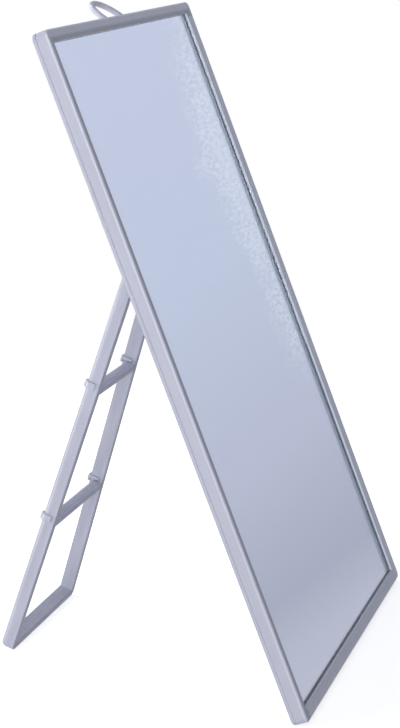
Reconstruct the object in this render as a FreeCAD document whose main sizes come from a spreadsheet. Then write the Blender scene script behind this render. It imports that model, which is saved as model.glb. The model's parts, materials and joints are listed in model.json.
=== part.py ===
import FreeCAD, Part
import os
import re
import Sketcher

# A portable makeup mirror: a framed glass panel that leans back on a folding ladder leg.
# The panel is drawn upright: X across, Y from the mirror face to the back, Z up the panel.
# The leg is drawn hanging from its hinge pin, and the loop standing on its own pin.
# Both are then set against the panel, and the whole stands with its lowest edges on Z = 0.

# Driving dimensions: millimetres, and degrees for angles
DIMENSIONS = [
    ("frame_width", 180.0, "panel, side to side"),
    ("frame_height", 300.0, "panel, bottom to top"),
    ("panel_depth", 7.0, "mirror side of the frame to the back of the cover"),
    ("corner_radius", 3.0, "outer corners of the panel"),
    ("front_round", 0.8, "outer front edge of the frame"),
    ("seam_bevel", 0.3, "each side of the seam between frame and cover"),
    ("wall_thickness", 3.6, "outer wall of the frame"),
    ("lip_width", 5.4, "front lip, from the outer edge to the clear glass"),
    ("lip_thickness", 1.7, "front lip over the glass"),
    ("bevel_width", 1.5, "slope along the inner edge of the lip"),
    ("bevel_drop", 0.8, "depth of that slope"),
    ("glass_thickness", 2.0, "silvered glass"),
    ("glass_play", 0.4, "room around the glass in its bed"),
    ("cover_thickness", 1.8, "back cover plate"),
    ("rim_height", 1.2, "locating rim inside the cover"),
    ("rim_thickness", 1.2, "wall of that rim"),
    ("rim_play", 0.15, "rim to frame wall"),
    ("foam_play", 0.4, "foam sheet to rim and screw pads"),
    ("hinge_height", 217.5, "hinge pin above the bottom of the panel"),
    ("pin_standoff", 5.5, "hinge pin behind the back cover"),
    ("pin_diameter", 3.0, "hinge pin"),
    ("pin_fit", 0.05, "radial running fit of both pins"),
    ("pin_head_diameter", 5.2, "head and push-on cap of the hinge pin"),
    ("pin_head_thickness", 1.2, "head of the hinge pin"),
    ("pin_tail", 2.0, "pin length beyond the ear, inside the cap"),
    ("cap_thickness", 2.8, "push-on cap of the hinge pin"),
    ("flange_thickness", 1.6, "base plate of the hinge bracket"),
    ("flange_height", 24.0, "base plate, up the panel"),
    ("flange_margin", 4.2, "screw centre to the edge of the plate"),
    ("flange_corner", 3.0, "corners of the base plate"),
    ("ear_thickness", 2.4, "ears of the hinge bracket"),
    ("ear_radius", 4.0, "round end of each ear"),
    ("side_play", 0.3, "leg barrel to bracket ear"),
    ("stop_gap", 0.3, "heel of the open leg to the base plate"),
    ("screw_diameter", 2.0, "bracket screws"),
    ("screw_head_diameter", 4.0, "bracket screw heads"),
    ("screw_head_height", 1.3, "bracket screw heads"),
    ("screw_fit", 0.05, "radial room in the screw holes"),
    ("screw_offset", 4.4, "screw centre beyond the outer face of an ear"),
    ("screw_spread", 14.0, "screw centres, up the panel"),
    ("screw_reach", 2.6, "screw length in the cover and its pad"),
    ("boss_width", 5.0, "raised pads for the screws, inside the cover"),
    ("boss_height", 1.2, "thickness of those pads"),
    ("small_bevel", 0.4, "edges of the bracket, and of the hinge pin's head and cap"),
    ("open_angle", 39.2, "leg to panel when the heel is on its stop"),
    ("leg_length", 215.5, "hinge pin to the end of the foot"),
    ("leg_top_width", 36.0, "over both rails, at the pin"),
    ("leg_foot_width", 77.0, "over both rails, at the foot"),
    ("leg_depth", 6.6, "leg, front to back"),
    ("rail_thickness", 3.2, "wall of each rail"),
    ("foot_thickness", 3.4, "foot bar"),
    ("foot_corner_radius", 2.8, "outer corners of the foot"),
    ("inner_corner_radius", 1.0, "inner corners of the leg"),
    ("rail_back_round", 2.2, "outer back edge of the rails and the foot"),
    ("contact_round", 0.6, "the two edges that stand on the table, and the rails' front edges"),
    ("barrel_web", 6.0, "pin to the top of the first opening"),
    ("heel_height", 3.0, "flat of the heel, up from the pin"),
    ("upper_rung_drop", 87.0, "hinge pin to the upper rung"),
    ("lower_rung_drop", 152.0, "hinge pin to the lower rung"),
    ("rung_depth", 5.4, "rungs, front to back"),
    ("rung_height", 4.6, "rungs, along the leg"),
    ("rung_round", 1.8, "long edges of the rungs"),
    ("rung_forward", 0.5, "rungs, set towards the front of the rails"),
    ("rung_play", 0.05, "rung to rail, and tenon to its hole"),
    ("tenon_diameter", 2.6, "round ends of the rungs"),
    ("tenon_inset", 0.8, "tenon ends, below the outer face of the rail"),
    ("clip_height", 3.2, "rung clips, along the rail"),
    ("clip_wall", 1.0, "arms of the rung clips"),
    ("clip_bridge", 1.3, "clip behind the back edge of the rail"),
    ("clip_reach", 1.2, "end of the arms, in front of the middle of the rail"),
    ("clip_rise", 2.9, "middle of a clip above the middle of its rung"),
    ("clip_play", 0.05, "clip to rail"),
    ("clip_gap", 0.3, "inner arm of a clip to the rung below it"),
    ("clip_round", 1.1, "inner corners of the clips"),
    ("clip_bevel", 0.35, "edges of the clips"),
    ("loop_width", 19.4, "hanging loop, between the middles of its two sides"),
    ("loop_height", 13.1, "loop pin to the middle of the top strand"),
    ("strand_diameter", 2.5, "strand of the loop, across its flats"),
    ("strand_corner", 22.5, "half the turn from one flat of the strand to the next"),
    ("eye_diameter", 2.8, "eyes of the loop, around the pin"),
    ("eye_width", 3.0, "eyes of the loop, along the pin"),
    ("loop_pin_diameter", 1.2, "pin of the loop"),
    ("loop_pin_seat", 3.0, "pin held beyond each side of the notch"),
    ("loop_pin_drop", 1.3, "loop pin below the top of the panel"),
    ("loop_pin_depth", 4.0, "loop pin behind the mirror side of the frame"),
    ("tab_play", 0.1, "tabs of the cover to the slots of the loop pin"),
    ("notch_play", 0.3, "loop to the notch that it turns in"),
    ("loop_lean", 36.0, "loop to panel, as it hangs back"),
]

# Sizes that follow from the driving dimensions
WORKED_OUT = [
    ("frame_depth", "panel_depth - cover_thickness"),
    ("glass_front", "lip_thickness"),
    ("glass_back", "lip_thickness + glass_thickness"),
    ("glass_inset", "wall_thickness + glass_play"),
    ("rim_inset", "wall_thickness + rim_play"),
    ("foam_inset", "rim_inset + rim_thickness + foam_play"),
    ("taper", "(leg_foot_width - leg_top_width) / (2 * leg_length)"),
    ("rail_across", "rail_thickness * sqrt(1 + taper * taper)"),
    ("ear_inner", "leg_top_width / 2 + taper * ear_radius + side_play"),
    ("ear_outer", "ear_inner + ear_thickness"),
    ("barrel_half", "ear_inner - side_play"),
    ("flange_back", "panel_depth + flange_thickness"),
    ("pin_depth", "panel_depth + pin_standoff"),
    ("screw_across", "ear_outer + screw_offset"),
    ("heel_reach", "pin_standoff - flange_thickness - stop_gap"),
    ("loop_pin_height", "frame_height - loop_pin_drop"),
    ("notch_half", "(loop_width + eye_width) / 2 + notch_play"),
    ("notch_front", "loop_pin_depth - eye_diameter / 2 - notch_play"),
    ("notch_floor", "loop_pin_height - eye_diameter / 2 - notch_play"),
    ("loop_arch", "loop_width / 2"),
    ("loop_rise", "loop_height - loop_arch"),
    ("loop_pin_slot", "loop_pin_diameter / 2 + pin_fit"),
]

TOLERANCE = 0.001
HALF_TURN = 180.0
SIDES = {"left": -1, "right": 1}

doc = FreeCAD.newDocument("MakeupMirror")
sheet = doc.addObject("Spreadsheet::Sheet", "Dimensions")


def fill_sheet():
    """Write each size to a row: its name, its cell with the alias, and what it measures."""
    row = 0
    for alias, number, meaning in DIMENSIONS:
        row += 1
        sheet.set(f"A{row}", alias)
        sheet.set(f"B{row}", f"{number}")
        sheet.setAlias(f"B{row}", alias)
        sheet.set(f"C{row}", meaning)
    for alias, formula in WORKED_OUT:
        row += 1
        sheet.set(f"A{row}", alias)
        sheet.set(f"B{row}", f"={formula}")
        sheet.setAlias(f"B{row}", alias)
    doc.recompute()


fill_sheet()
ALIASES = {entry[0] for entry in DIMENSIONS + WORKED_OUT}


def sized(text):
    """Turn the plain names of dimensions into references to the sheet."""
    def reference(word):
        name = word.group()
        return f"Dimensions.{name}" if name in ALIASES else name
    return re.sub(r"[a-z][a-z_]*", reference, text)


def value(text):
    """The present number of a formula of dimensions."""
    result = sheet.evalExpression(text)
    return float(getattr(result, "Value", result))


def half(name):
    """The two signed halves of a size, as formulas."""
    return f"-({name}) / 2", f"({name}) / 2"


# Bodies, sketches and their constraints

def new_body(label):
    body = doc.addObject("PartDesign::Body", label)
    body.Label = label
    return body


def new_sketch(body, plane_name, offset="0"):
    """A sketch on one of the body's own planes, moved along the plane's normal."""
    plane = next(item for item in body.Origin.OriginFeatures if item.Role == f"{plane_name}_Plane")
    sketch = body.newObject("Sketcher::SketchObject", f"{body.Label}_sketch")
    sketch.AttachmentSupport = [(plane, "")]
    sketch.MapMode = "FlatFace"
    sketch.setExpression("AttachmentOffset.Base.z", sized(offset))
    return sketch


def face_sketch(body, depth="0"):
    """A sketch that faces the viewer: X across, Z up, at a depth behind the mirror side."""
    return new_sketch(body, "XZ", f"-({depth})")


def side_sketch(body, across="0"):
    """A sketch seen from the side: Y to the back, Z up."""
    return new_sketch(body, "YZ", across)


def bind(sketch, constraint, text):
    """Add a constraint whose size is a formula of the sheet."""
    index = sketch.addConstraint(constraint)
    sketch.setExpression(f"Constraints[{index}]", sized(text))


def place_along(sketch, kind, geometry, point, text):
    """Tie a point of the sketch along one axis, measured from the origin."""
    bind(sketch, Sketcher.Constraint(kind, -1, 1, geometry, point, value(text)), text)


def place_point(sketch, geometry, point, x_text, y_text):
    place_along(sketch, "DistanceX", geometry, point, x_text)
    place_along(sketch, "DistanceY", geometry, point, y_text)


def set_radius(sketch, geometry, text):
    bind(sketch, Sketcher.Constraint("Radius", geometry, value(text)), text)


def add_polygon(sketch, corners):
    """A closed outline whose corners are pairs of formulas."""
    points = [FreeCAD.Vector(value(x_text), value(y_text), 0) for x_text, y_text in corners]
    first = sketch.GeometryCount
    count = len(points)
    for index in range(count):
        sketch.addGeometry(Part.LineSegment(points[index], points[(index + 1) % count]), False)
    for index in range(count):
        following = first + (index + 1) % count
        sketch.addConstraint(Sketcher.Constraint("Coincident", first + index, 2, following, 1))
        place_point(sketch, first + index, 1, *corners[index])


def add_rectangle(sketch, x_range, y_range):
    left, right = x_range
    low, high = y_range
    add_polygon(sketch, [(left, low), (right, low), (right, high), (left, high)])


def add_circle(sketch, x_text, y_text, radius_text):
    centre = FreeCAD.Vector(value(x_text), value(y_text), 0)
    axis = FreeCAD.Vector(0, 0, 1)
    circle = sketch.addGeometry(Part.Circle(centre, axis, value(radius_text)), False)
    place_point(sketch, circle, 3, x_text, y_text)
    set_radius(sketch, circle, radius_text)


# Solid features

def finish_feature(body, feature):
    body.Tip = feature
    doc.recompute()
    return feature


def pad(body, sketch, length, backward=False, centred=False):
    feature = body.newObject("PartDesign::Pad", f"{body.Label}_pad")
    feature.Profile = sketch
    feature.SideType = "Symmetric" if centred else "One side"
    feature.Reversed = backward
    feature.setExpression("Length", sized(length))
    return finish_feature(body, feature)


def cut(body, sketch, length, centred=False):
    """Cut away from the sketch, and make sure that something was cut."""
    before = body.Shape.Volume
    feature = body.newObject("PartDesign::Pocket", f"{body.Label}_cut")
    feature.Profile = sketch
    feature.SideType = "Symmetric" if centred else "One side"
    feature.setExpression("Length", sized(length))
    finish_feature(body, feature)
    if body.Shape.Volume > before - TOLERANCE:
        raise RuntimeError(f"{feature.Label} cuts nothing")
    return feature


def dress(body, kind, size_name, size_text, chosen):
    """Round or bevel the edges of the body that the test picks."""
    base = body.Tip
    names = [f"Edge{number}" for number, edge in enumerate(base.Shape.Edges, 1) if chosen(edge)]
    feature = body.newObject(f"PartDesign::{kind}", f"{body.Label}_{kind.lower()}")
    feature.Base = (base, names)
    feature.setExpression(size_name, sized(size_text))
    return finish_feature(body, feature)


def round_edges(body, radius, chosen):
    return dress(body, "Fillet", "Radius", radius, chosen)


def bevel_edges(body, size, chosen):
    return dress(body, "Chamfer", "Size", size, chosen)


# Tests that pick edges

def runs_along(edge, axis):
    """True for a straight edge along one axis."""
    box = edge.BoundBox
    lengths = {"X": box.XLength, "Y": box.YLength, "Z": box.ZLength}
    return all((lengths[name] > TOLERANCE) == (name == axis) for name in lengths)


def lies_at_depth(edge, depth):
    """True for an edge in the plane Y = depth."""
    box = edge.BoundBox
    return abs(box.YMin - depth) < TOLERANCE and abs(box.YMax - depth) < TOLERANCE


def lies_across(edge, place):
    """True for an edge in the plane X = place."""
    box = edge.BoundBox
    return abs(box.XMin - place) < TOLERANCE and abs(box.XMax - place) < TOLERANCE


# The panel: frame, glass, foam and cover

PANEL_X = half("frame_width")
PANEL_Z = ("0", "frame_height")


def inset_range(inset):
    """Outline of the panel drawn in by an inset: its X range and its Z range."""
    across = half(f"frame_width - 2 * ({inset})")
    upward = (f"{inset}", f"frame_height - ({inset})")
    return across, upward


def cut_loop_notch(body):
    """The notch that the loop turns in, open to the top and to the back."""
    notch = side_sketch(body)
    add_rectangle(notch, ("notch_front", "panel_depth + notch_play"),
                  ("notch_floor", "frame_height + notch_play"))
    cut(body, notch, "2 * notch_half", centred=True)


def cut_loop_pin_slots(body):
    """The slots on both sides of the notch, where the loop pin is laid in from the back."""
    low, high = "loop_pin_height - loop_pin_slot", "loop_pin_height + loop_pin_slot"
    slot = side_sketch(body)
    add_rectangle(slot, ("loop_pin_depth", "frame_depth"), (low, high))
    cut(body, slot, "2 * (notch_half + loop_pin_seat)", centred=True)
    groove = side_sketch(body)
    add_circle(groove, "loop_pin_depth", "loop_pin_height", "loop_pin_slot")
    cut(body, groove, "2 * (notch_half + loop_pin_seat)", centred=True)


def add_loop_pin_tabs(body):
    """The tabs of the cover that fill the slots and hold the loop pin in."""
    half_height = "(loop_pin_slot - tab_play)"
    for start in ("notch_half", "-notch_half - loop_pin_seat + tab_play"):
        tab = side_sketch(body, start)
        add_rectangle(tab, ("loop_pin_depth + loop_pin_slot", "frame_depth + seam_bevel"),
                      (f"loop_pin_height - {half_height}", f"loop_pin_height + {half_height}"))
        pad(body, tab, "loop_pin_seat - tab_play")


def make_front_frame():
    body = new_body("front_frame")
    outline = face_sketch(body)
    add_rectangle(outline, PANEL_X, PANEL_Z)
    pad(body, outline, "frame_depth", backward=True)
    round_edges(body, "corner_radius", lambda edge: runs_along(edge, "Y"))
    round_edges(body, "front_round", lambda edge: lies_at_depth(edge, 0))
    seam = value("frame_depth")
    bevel_edges(body, "seam_bevel", lambda edge: lies_at_depth(edge, seam))
    bed = face_sketch(body, "lip_thickness")
    add_rectangle(bed, *inset_range("wall_thickness"))
    cut(body, bed, "frame_depth")
    window = face_sketch(body)
    add_rectangle(window, *inset_range("lip_width"))
    cut(body, window, "frame_depth")
    cut_lip_slope(body)
    cut_loop_notch(body)
    cut_loop_pin_slots(body)
    return body


def cut_lip_slope(body):
    """The slope from the flat of the lip down towards the glass, on all four sides."""
    mouth = face_sketch(body)
    add_rectangle(mouth, *inset_range("lip_width - bevel_width"))
    throat = face_sketch(body, "bevel_drop")
    add_rectangle(throat, *inset_range("lip_width"))
    doc.recompute()
    slope = body.newObject("PartDesign::SubtractiveLoft", "front_frame_slope")
    slope.Profile = mouth
    slope.Sections = [throat]
    slope.Ruled = True
    finish_feature(body, slope)


def make_mirror_glass():
    body = new_body("mirror_glass")
    outline = face_sketch(body, "glass_front")
    add_rectangle(outline, *inset_range("glass_inset"))
    pad(body, outline, "glass_thickness", backward=True)
    return body


def screw_places():
    """Centres of the four bracket screws, as formulas of X and Z."""
    for across in ("-screw_across", "screw_across"):
        for rise in half("screw_spread"):
            yield across, f"hinge_height + {rise}"


def add_screw_pads(sketch, margin):
    """The two upright pads inside the cover, one for each pair of screws."""
    half_width = f"(boss_width / 2 + {margin})"
    half_height = f"((screw_spread + boss_width) / 2 + {margin})"
    for across in ("-screw_across", "screw_across"):
        add_rectangle(sketch, (f"{across} - {half_width}", f"{across} + {half_width}"),
                      (f"hinge_height - {half_height}", f"hinge_height + {half_height}"))


def make_foam_pad():
    body = new_body("foam_pad")
    outline = face_sketch(body, "glass_back")
    add_rectangle(outline, *inset_range("foam_inset"))
    pad(body, outline, "frame_depth - glass_back", backward=True)
    holes = face_sketch(body, "glass_back")
    add_screw_pads(holes, "foam_play")
    cut(body, holes, "frame_depth - glass_back")
    return body


def make_back_cover():
    body = new_body("back_cover")
    outline = face_sketch(body, "frame_depth")
    add_rectangle(outline, PANEL_X, PANEL_Z)
    pad(body, outline, "cover_thickness", backward=True)
    round_edges(body, "corner_radius", lambda edge: runs_along(edge, "Y"))
    back = value("panel_depth")
    seam = value("frame_depth")
    round_edges(body, "contact_round", lambda edge: lies_at_depth(edge, back))
    bevel_edges(body, "seam_bevel", lambda edge: lies_at_depth(edge, seam))
    rim = face_sketch(body, "frame_depth")
    add_rectangle(rim, *inset_range("rim_inset"))
    add_rectangle(rim, *inset_range("rim_inset + rim_thickness"))
    pad(body, rim, "rim_height")
    bosses = face_sketch(body, "frame_depth")
    add_screw_pads(bosses, "0")
    pad(body, bosses, "boss_height")
    holes = face_sketch(body, "panel_depth - screw_reach - screw_fit")
    for across, height in screw_places():
        add_circle(holes, across, height, "screw_diameter / 2 + screw_fit")
    cut(body, holes, "panel_depth")
    cut_loop_notch(body)
    add_loop_pin_tabs(body)
    return body


# The hinge on the back cover

def add_tongue(sketch, base, tip, centre, radius):
    """An ear seen from the side: straight from its base, with a round end about the pin."""
    low, high = f"{centre} - {radius}", f"{centre} + {radius}"
    base_x, tip_x = value(base), value(tip)
    middle, reach = value(centre), value(radius)
    start = FreeCAD.Vector(tip_x, middle - reach, 0)
    end = FreeCAD.Vector(tip_x, middle + reach, 0)
    top = FreeCAD.Vector(tip_x + reach, middle, 0)
    foot = FreeCAD.Vector(base_x, middle - reach, 0)
    head = FreeCAD.Vector(base_x, middle + reach, 0)
    lower = sketch.addGeometry(Part.LineSegment(foot, start), False)
    bend = sketch.addGeometry(Part.Arc(start, top, end), False)
    upper = sketch.addGeometry(Part.LineSegment(end, head), False)
    close = sketch.addGeometry(Part.LineSegment(head, foot), False)
    for one, other in ((lower, bend), (bend, upper), (upper, close), (close, lower)):
        sketch.addConstraint(Sketcher.Constraint("Coincident", one, 2, other, 1))
    place_point(sketch, lower, 1, base, low)
    place_point(sketch, lower, 2, tip, low)
    place_point(sketch, upper, 1, tip, high)
    place_point(sketch, upper, 2, base, high)
    place_along(sketch, "DistanceX", bend, 3, tip)


def make_hinge_bracket():
    body = new_body("hinge_bracket")
    plate = face_sketch(body, "panel_depth")
    add_rectangle(plate, half("2 * (screw_across + flange_margin)"),
                  ("hinge_height - flange_height / 2", "hinge_height + flange_height / 2"))
    pad(body, plate, "flange_thickness", backward=True)
    round_edges(body, "flange_corner", lambda edge: runs_along(edge, "Y"))
    back = value("flange_back")
    bevel_edges(body, "small_bevel", lambda edge: lies_at_depth(edge, back))
    for inner in ("ear_inner", "-ear_outer"):
        ear = side_sketch(body, inner)
        add_tongue(ear, "flange_back - small_bevel", "pin_depth", "hinge_height", "ear_radius")
        pad(body, ear, "ear_thickness")
    bore = side_sketch(body)
    add_circle(bore, "pin_depth", "hinge_height", "pin_diameter / 2 + pin_fit")
    cut(body, bore, "4 * ear_outer", centred=True)
    holes = face_sketch(body, "panel_depth")
    for across, height in screw_places():
        add_circle(holes, across, height, "screw_diameter / 2 + screw_fit")
    cut(body, holes, "flange_thickness")
    return body


def make_bracket_screws():
    """Four screws, heads on the plate and tips in the pads of the cover."""
    body = new_body("bracket_screws")
    shanks = face_sketch(body, "panel_depth - screw_reach")
    heads = face_sketch(body, "flange_back")
    for across, height in screw_places():
        add_circle(shanks, across, height, "screw_diameter / 2")
        add_circle(heads, across, height, "screw_head_diameter / 2")
    pad(body, shanks, "screw_reach + flange_thickness", backward=True)
    pad(body, heads, "screw_head_height", backward=True)
    return body


def make_hinge_pin():
    """A headed pin: head against the right ear, tail through the left ear."""
    body = new_body("hinge_pin")
    tail = side_sketch(body, "-ear_outer - pin_tail")
    add_circle(tail, "pin_depth", "hinge_height", "pin_diameter / 2")
    pad(body, tail, "2 * ear_outer + pin_tail")
    head = side_sketch(body, "ear_outer")
    add_circle(head, "pin_depth", "hinge_height", "pin_head_diameter / 2")
    pad(body, head, "pin_head_thickness")
    crown = value("ear_outer + pin_head_thickness")
    bevel_edges(body, "small_bevel", lambda edge: lies_across(edge, crown))
    return body


def make_pin_cap():
    """The cap pushed on the tail of the hinge pin, which keeps it from sliding out."""
    body = new_body("pin_cap")
    cup = side_sketch(body, "-ear_outer - cap_thickness")
    add_circle(cup, "pin_depth", "hinge_height", "pin_head_diameter / 2")
    pad(body, cup, "cap_thickness")
    outer = value("-ear_outer - cap_thickness")
    bevel_edges(body, "small_bevel", lambda edge: lies_across(edge, outer))
    bore = side_sketch(body, "-ear_outer")
    add_circle(bore, "pin_depth", "hinge_height", "pin_diameter / 2 + pin_fit")
    cut(body, bore, "pin_tail + pin_fit")
    return body


# The folding leg, drawn with the hinge pin along X through the origin

def outer_half(drop):
    """Half the width over the rails at a distance below the pin."""
    return f"leg_top_width / 2 + taper * ({drop})"


def inner_half(drop):
    return f"{outer_half(drop)} - rail_across"


def add_trapezium(sketch, upper_drop, lower_drop, half_width, margin="0"):
    """A piece of the leg's outline between two distances below the pin."""
    upper = f"{half_width(upper_drop)} - {margin}"
    lower = f"{half_width(lower_drop)} - {margin}"
    add_polygon(sketch, [(f"-({lower})", f"-({lower_drop})"), (lower, f"-({lower_drop})"),
                         (upper, f"-({upper_drop})"), (f"-({upper})", f"-({upper_drop})")])


def make_leg_frame():
    body = new_body("leg_frame")
    outline = face_sketch(body)
    add_trapezium(outline, "0", "leg_length", outer_half)
    pad(body, outline, "leg_depth", centred=True)
    below_pin = -TOLERANCE
    end = -value("leg_length") + TOLERANCE
    front, back = -value("leg_depth") / 2, value("leg_depth") / 2
    round_edges(body, "foot_corner_radius",
                lambda edge: runs_along(edge, "Y") and edge.BoundBox.ZMax < end)
    round_edges(body, "rail_back_round",
                lambda edge: lies_at_depth(edge, back) and edge.BoundBox.ZMin < below_pin)
    round_edges(body, "contact_round",
                lambda edge: lies_at_depth(edge, front) and edge.BoundBox.ZMin < below_pin)
    opening = face_sketch(body, "-leg_depth")
    add_trapezium(opening, "barrel_web", "leg_length - foot_thickness", inner_half)
    cut(body, opening, "2 * leg_depth")
    inside = value(inner_half("leg_length")) + TOLERANCE

    def inner_corner(edge):
        return runs_along(edge, "Y") and edge.BoundBox.XMax < inside and edge.BoundBox.XMin > -inside

    round_edges(body, "inner_corner_radius",
                lambda edge: inner_corner(edge) and edge.BoundBox.ZMax < -value("barrel_web") + TOLERANCE)
    barrel = side_sketch(body)
    add_circle(barrel, "0", "0", "leg_depth / 2")
    pad(body, barrel, "2 * barrel_half", centred=True)
    heel = side_sketch(body)
    add_polygon(heel, [heel_point("0", "0"), heel_point("heel_reach", "0"),
                       heel_point("heel_reach", "heel_height"), heel_point("0", "heel_height")])
    pad(body, heel, "2 * barrel_half", centred=True)
    bore = side_sketch(body)
    add_circle(bore, "0", "0", "pin_diameter / 2 + pin_fit")
    cut(body, bore, "4 * barrel_half", centred=True)
    for drop in ("upper_rung_drop", "lower_rung_drop"):
        hole = side_sketch(body)
        add_circle(hole, "0", f"-{drop}", "tenon_diameter / 2 + rung_play")
        cut(body, hole, f"2 * ({outer_half(drop)} - tenon_inset + rung_play)", centred=True)
    return body


def heel_point(reach, rise):
    """A point of the heel, given towards the base plate and up the panel with the leg open."""
    to_back = f"({rise}) * sin(open_angle) - ({reach}) * cos(open_angle)"
    upward = f"({rise}) * cos(open_angle) + ({reach}) * sin(open_angle)"
    return to_back, upward


def make_rung(label, drop):
    """A bar between the rails, with a round tenon in a blind hole of each of them."""
    body = new_body(label)
    bar = face_sketch(body, "-rung_forward")
    add_trapezium(bar, f"{drop} - rung_height / 2", f"{drop} + rung_height / 2", inner_half, "rung_play")
    pad(body, bar, "rung_depth", centred=True)
    round_edges(body, "rung_round", lambda edge: runs_along(edge, "X"))
    tenon = side_sketch(body)
    add_circle(tenon, "0", f"-{drop}", "tenon_diameter / 2")
    pad(body, tenon, f"2 * ({outer_half(drop)} - tenon_inset)", centred=True)
    return body


def make_clip(label, side):
    """A clip snapped over the back edge of a rail, whose outer face is at X = 0.

    The side is 1 on the right and -1 on the left, where everything is turned over.
    """
    body = new_body(label)
    outer = f"{side} * (clip_play + clip_wall)"
    outer_seat = f"{side} * clip_play"
    inner_seat = f"-{side} * (rail_thickness + clip_play)"
    inner = f"-{side} * (rail_thickness + clip_play + clip_wall)"
    seat = "leg_depth / 2 + clip_play"
    back = f"{seat} + clip_bridge"
    tip = "-clip_reach"
    profile = new_sketch(body, "XY")
    add_polygon(profile, [(outer_seat, tip), (outer, tip), (outer, back), (inner, back),
                          (inner, tip), (inner_seat, tip), (inner_seat, seat), (outer_seat, seat)])
    pad(body, profile, "clip_height", centred=True)
    for radius, across, depth in (("rail_back_round + clip_wall", outer, back), ("clip_round", inner, back),
                                  ("rail_back_round", outer_seat, seat)):
        round_edges(body, radius, upright_edge(value(across), value(depth)))
    top = value("clip_height / 2")
    within = (value(inner_seat), value(outer_seat))
    bevel_edges(body, "clip_bevel", outline_edge(top, within, value(tip), value(seat)))
    above_rung = "rung_height / 2 + clip_gap - clip_rise + taper * (rail_thickness + clip_wall)"
    relief = face_sketch(body, f"{tip} - clip_play")
    add_rectangle(relief, (f"{inner} - {side} * clip_play", inner_seat), ("-clip_height", above_rung))
    cut(body, relief, f"{seat} + clip_reach + clip_play")
    return body


def upright_edge(across, depth):
    """A test for the edge along Z at one place of the clip's outline."""
    return lambda edge: runs_along(edge, "Z") and lies_across(edge, across) and lies_at_depth(edge, depth)


def outline_edge(top, within, tip, seat):
    """A test for the edges around both ends of a clip, other than those of its seat."""
    low, high = sorted(within)

    def chosen(edge):
        box = edge.BoundBox
        level = box.ZMax - box.ZMin < TOLERANCE and abs(abs(box.ZMax) - top) < TOLERANCE
        in_seat = box.XMin > low - TOLERANCE and box.XMax < high + TOLERANCE and box.YMax < seat + TOLERANCE
        at_tip = box.YMax < tip + TOLERANCE
        return level and (at_tip or not in_seat)

    return chosen


# The hanging loop, drawn with its pin along X through the origin

def add_strand(sketch, across):
    """Section of the strand: eight flat sides around its diameter."""
    flat, corner = "strand_diameter / 2", "strand_diameter / 2 * tan(strand_corner)"
    turns = [(flat, corner), (corner, flat), (f"-{corner}", flat), (f"-({flat})", corner),
             (f"-({flat})", f"-{corner}"), (f"-{corner}", f"-({flat})"), (corner, f"-({flat})"),
             (flat, f"-{corner}")]
    add_polygon(sketch, [(f"{across} + {beside}", rise) for beside, rise in turns])


def make_hanging_loop():
    """One strand: a half round top, two sides and an eye at each end for the pin."""
    body = new_body("hanging_loop")
    top = new_sketch(body, "XY", "loop_rise")
    add_strand(top, "loop_arch")
    arch = body.newObject("PartDesign::Revolution", "hanging_loop_arch")
    arch.Profile = top
    arch.ReferenceAxis = (top, ["V_Axis"])
    arch.Angle = HALF_TURN
    arch.Reversed = True
    finish_feature(body, arch)
    sides = new_sketch(body, "XY")
    for across in ("-loop_arch", "loop_arch"):
        add_strand(sides, across)
    pad(body, sides, "loop_rise")
    for across in ("-loop_arch", "loop_arch"):
        eye = side_sketch(body, f"{across} - eye_width / 2")
        add_circle(eye, "0", "0", "eye_diameter / 2")
        pad(body, eye, "eye_width")
    bore = side_sketch(body)
    add_circle(bore, "0", "0", "loop_pin_diameter / 2 + pin_fit")
    cut(body, bore, "2 * loop_width", centred=True)
    return body


def make_loop_pin():
    body = new_body("loop_pin")
    section = side_sketch(body)
    add_circle(section, "loop_pin_depth", "loop_pin_height", "loop_pin_diameter / 2")
    pad(body, section, "2 * (notch_half + loop_pin_seat)", centred=True)
    return body


# Build every piece

panel_pieces = [
    make_front_frame(),
    make_mirror_glass(),
    make_foam_pad(),
    make_back_cover(),
    make_hinge_bracket(),
    make_bracket_screws(),
    make_hinge_pin(),
    make_pin_cap(),
    make_loop_pin(),
]
leg_pieces = [
    make_leg_frame(),
    make_rung("upper_rung", "upper_rung_drop"),
    make_rung("lower_rung", "lower_rung_drop"),
]
clip_pieces = {
    (level, side): make_clip(f"{level}_{side}_clip", SIDES[side])
    for level in ("upper", "lower")
    for side in SIDES
}
loop = make_hanging_loop()


# Set the pieces against each other: the panel leans until both edges touch the table

X_AXIS = FreeCAD.Vector(1, 0, 0)
Y_AXIS = FreeCAD.Vector(0, 1, 0)
FOOT_HEIGHT = ("hinge_height - (leg_length - contact_round) * cos(open_angle)"
               " - (leg_depth / 2 - contact_round) * sin(open_angle) - contact_round")
FOOT_DISTANCE = ("pin_standoff + (leg_length - contact_round) * sin(open_angle)"
                 " - (leg_depth / 2 - contact_round) * cos(open_angle) + contact_round")
panel_lean = value(f"atan(({FOOT_HEIGHT}) / ({FOOT_DISTANCE}))")


def turned(axis, angle, base=FreeCAD.Vector(0, 0, 0)):
    return FreeCAD.Placement(base, FreeCAD.Rotation(axis, angle))


def standing(forward):
    """Placement of the panel, leaning back on its rounded lower back edge."""
    edge = FreeCAD.Vector(0, value("panel_depth - contact_round"), value("contact_round"))
    table = FreeCAD.Vector(0, forward, value("contact_round"))
    lean = FreeCAD.Rotation(X_AXIS, -panel_lean)
    return FreeCAD.Placement(table - lean.multVec(edge), lean)


def clip_place(level, side):
    """Placement of a clip on the leg, at the end of its rung."""
    drop = f"{level}_rung_drop - clip_rise"
    across = SIDES[side] * value(outer_half(drop))
    slant = SIDES[side] * value("atan(taper)")
    return turned(Y_AXIS, -slant, FreeCAD.Vector(across, 0, -value(drop)))


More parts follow.
